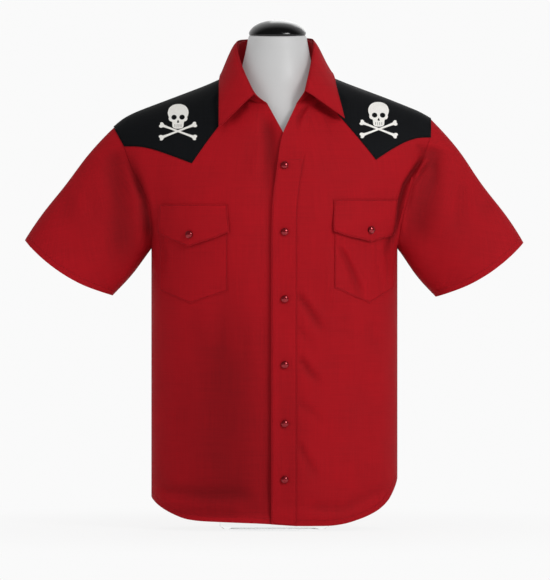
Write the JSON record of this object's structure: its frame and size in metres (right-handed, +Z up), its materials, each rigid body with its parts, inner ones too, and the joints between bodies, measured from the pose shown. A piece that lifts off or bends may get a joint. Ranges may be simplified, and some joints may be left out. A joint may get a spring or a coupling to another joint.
{
  "type": "western shirt on a limbless dress form",
  "caption": "Short-sleeved red western shirt with black pointed yokes, snap placket and flap pockets, worn by a plain limbless dress form.",
  "frame": {"origin": "centre of the underside of the dress form's plinth, on the surface that it stands on", "axes": "+Z up, the shirt faces -Y, the wearer's right is at -X"},
  "size_m": [0.823, 0.2504, 0.8382],
  "materials": {
    "red_cotton": "plain woven cotton blend, slight sheen",
    "black_cotton": "plain woven cotton blend, matte",
    "pearl_snap": "glossy dark red pearl snap",
    "form_skin": "pale grey, satin",
    "cap_lacquer": "black gloss",
    "clear_acrylic": "clear cast acrylic, polished"
  },
  "bodies": {
    "root": {"front_right": "red_cotton", "front_left": "red_cotton", "back": "red_cotton", "sleeve_right": "red_cotton", "sleeve_left": "red_cotton", "yoke_front_right": "black_cotton", "yoke_front_left": "black_cotton", "yoke_back": "black_cotton", "placket": "red_cotton", "pocket_right": "red_cotton", "pocket_left": "red_cotton", "flap_right": "red_cotton", "flap_left": "red_cotton", "collar_stand": "red_cotton", "collar_leaf": "red_cotton", "snap_front_1": "pearl_snap", "snap_front_2": "pearl_snap", "snap_front_3": "pearl_snap", "snap_front_4": "pearl_snap", "snap_front_5": "pearl_snap", "snap_front_6": "pearl_snap", "snap_flap_right": "pearl_snap", "snap_flap_left": "pearl_snap", "form_torso": "form_skin", "form_plinth": "clear_acrylic", "neck_cap": "cap_lacquer"}
  },
  "joints": []
}
